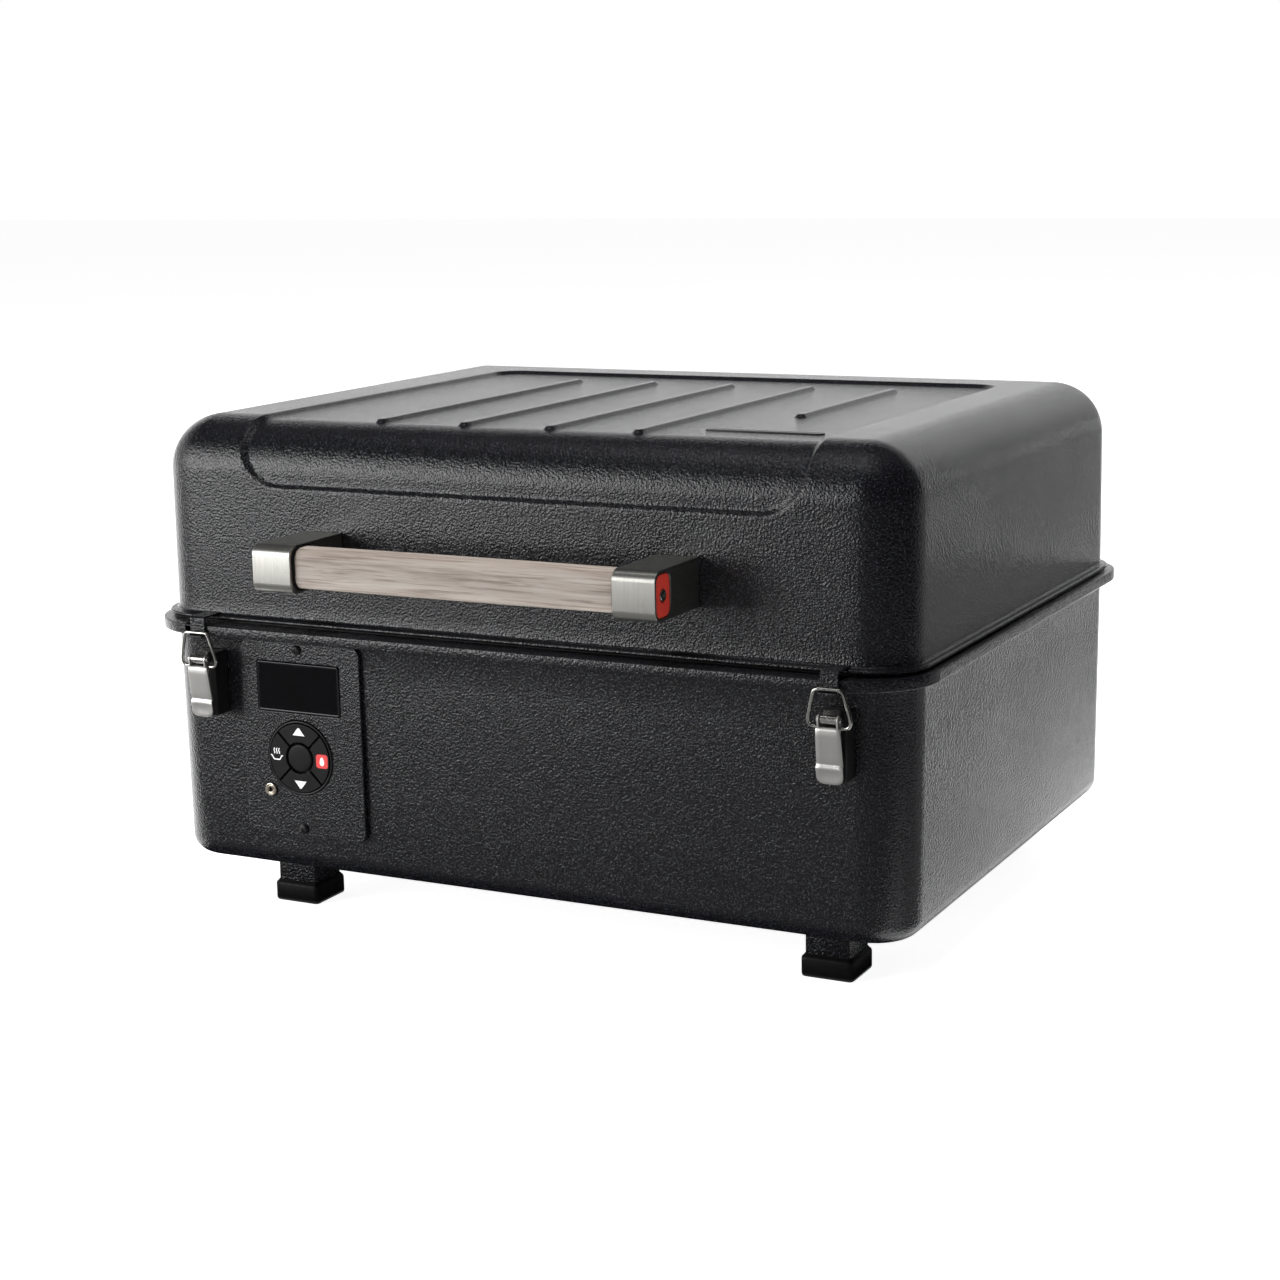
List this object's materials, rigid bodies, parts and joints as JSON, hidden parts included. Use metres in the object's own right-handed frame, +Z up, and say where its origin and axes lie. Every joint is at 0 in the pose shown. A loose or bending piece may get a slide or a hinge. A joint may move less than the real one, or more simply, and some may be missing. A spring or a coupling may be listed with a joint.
{
  "type": "pellet smoker grill",
  "caption": "Portable table-top pellet smoker grill: rounded black lid over a box body, wooden bar handle, front control panel, side latches and short feet.",
  "frame": {"origin": "centre of the footprint's bounding box, on the surface that the feet stand on", "axes": "+Z up, -Y towards the front with the control panel, +X to the right seen from the front"},
  "size_m": [0.533, 0.4886, 0.3287],
  "materials": {
    "coat": "black powder coat with a fine orange-peel texture",
    "black_paint": "smooth black paint",
    "bright_steel": "nickel plated steel",
    "brushed_nickel": "brushed along the height",
    "stainless": "stainless sheet",
    "rubber": "matt black",
    "iron": "porcelain enamelled",
    "black_plastic": "matt moulded",
    "display": "polished black window",
    "red_plastic": "moulded red insert",
    "wood": "pale greyish oak with fine lengthwise grain"
  },
  "bodies": {
    "body": {"lower_shell": "coat", "leg_front_left": "black_paint", "leg_front_right": "black_paint", "leg_rear_left": "black_paint", "leg_rear_right": "black_paint", "foot_boot_front_left": "rubber", "foot_boot_front_right": "rubber", "foot_boot_rear_left": "rubber", "foot_boot_rear_right": "rubber", "control_panel": "coat", "display_window": "display", "keypad_ring": "black_plastic", "probe_jack": "brushed_nickel", "panel_screw_top": "black_paint", "panel_screw_bottom": "black_paint", "controller_housing": "black_plastic", "hopper_bin": "stainless", "auger_tube": "stainless", "auger_motor": "black_paint", "fan_housing": "black_plastic", "firepot": "iron", "igniter_rod": "bright_steel", "chamber_liner": "stainless", "heat_baffle": "iron", "drip_tray": "stainless", "grease_cup": "stainless", "temperature_probe": "bright_steel", "power_inlet": "black_plastic", "hinge_leaf_shell_left": "black_paint", "hinge_leaf_shell_right": "black_paint", "latch_base_left": "black_paint", "latch_base_right": "black_paint"},
    "lid": {"lid_shell": "coat", "lid_gasket": "rubber", "hinge_leaf_lid_left": "black_paint", "hinge_leaf_lid_right": "black_paint", "latch_keeper_left": "black_paint", "latch_keeper_right": "black_paint", "handle_bracket_left": "brushed_nickel", "handle_bracket_right": "brushed_nickel", "handle_end_cap_left": "red_plastic", "handle_end_cap_right": "red_plastic", "handle_screw_left": "bright_steel", "handle_screw_right": "bright_steel", "handle_grip": "wood"},
    "hopper_flap": {"hopper_lid": "black_paint"},
    "auger": {"auger_screw": "bright_steel"},
    "fan_rotor": {"fan_impeller": "black_plastic"},
    "switch_rocker": {"power_switch": "black_plastic"},
    "grate": {"grill_grate": "iron"},
    "lever_left": {"latch_lever_left": "bright_steel"},
    "bail_left": {"latch_bail_left": "bright_steel"},
    "lever_right": {"latch_lever_right": "bright_steel"},
    "bail_right": {"latch_bail_right": "bright_steel"},
    "key_centre": {"button_centre": "black_plastic"},
    "key_up": {"button_up": "black_plastic"},
    "key_down": {"button_down": "black_plastic"},
    "key_left": {"button_left": "black_plastic"},
    "key_right": {"button_right": "black_plastic"}
  },
  "joints": [
    {"name": "lid_hinge", "type": "hinge", "parent": "body", "child": "lid", "pos_m": [0, 0.2407, 0.2018], "axis": [-1, 0, 0], "range_deg": [0, 95]},
    {"name": "latch_lever_left_pivot", "type": "hinge", "parent": "body", "child": "lever_left", "pos_m": [-0.214, -0.2068, 0.1771], "axis": [-1, 0, 0], "range_deg": [0, 120]},
    {"name": "latch_bail_left_pivot", "type": "hinge", "parent": "lever_left", "child": "bail_left", "pos_m": [-0.214, -0.2062, 0.1726], "axis": [1, 0, 0], "range_deg": [0, 150]},
    {"name": "latch_lever_right_pivot", "type": "hinge", "parent": "body", "child": "lever_right", "pos_m": [0.2195, -0.2068, 0.1771], "axis": [-1, 0, 0], "range_deg": [0, 120]},
    {"name": "latch_bail_right_pivot", "type": "hinge", "parent": "lever_right", "child": "bail_right", "pos_m": [0.2195, -0.2062, 0.1726], "axis": [1, 0, 0], "range_deg": [0, 150]},
    {"name": "hopper_lid_hinge", "type": "hinge", "parent": "body", "child": "hopper_flap", "pos_m": [-0.111, 0.0457, 0.1919], "axis": [0, 1, 0], "range_deg": [0, 85]},
    {"name": "auger_spin", "type": "hinge", "parent": "body", "child": "auger", "pos_m": [-0.08, 0.0157, 0.0853], "axis": [1, 0, 0], "continuous": true},
    {"name": "fan_spin", "type": "hinge", "parent": "body", "child": "fan_rotor", "pos_m": [-0.1195, 0.1157, 0.0833], "axis": [1, 0, 0], "continuous": true},
    {"name": "power_switch_rock", "type": "hinge", "parent": "body", "child": "switch_rocker", "pos_m": [-0.1662, 0.2141, 0.0923], "axis": [0, 0, 1], "range_deg": [0, 16]},
    {"name": "grate_lift", "type": "slide", "parent": "body", "child": "grate", "axis": [0, 0, 1], "range_m": [0, 0.06]},
    {"name": "button_centre_press", "type": "slide", "parent": "body", "child": "key_centre", "axis": [0, 1, 0], "range_m": [0, 0.0012], "stiffness_N_per_m": 300},
    {"name": "button_up_press", "type": "slide", "parent": "body", "child": "key_up", "axis": [0, 1, 0], "range_m": [0, 0.0012], "stiffness_N_per_m": 300},
    {"name": "button_down_press", "type": "slide", "parent": "body", "child": "key_down", "axis": [0, 1, 0], "range_m": [0, 0.0012], "stiffness_N_per_m": 300},
    {"name": "button_left_press", "type": "slide", "parent": "body", "child": "key_left", "axis": [0, 1, 0], "range_m": [0, 0.0012], "stiffness_N_per_m": 300},
    {"name": "button_right_press", "type": "slide", "parent": "body", "child": "key_right", "axis": [0, 1, 0], "range_m": [0, 0.0012], "stiffness_N_per_m": 300}
  ],
  "couplings": [
    {"joint": "latch_bail_left_pivot", "follows": "latch_lever_left_pivot", "ratio": 1.25},
    {"joint": "latch_bail_right_pivot", "follows": "latch_lever_right_pivot", "ratio": 1.25}
  ]
}
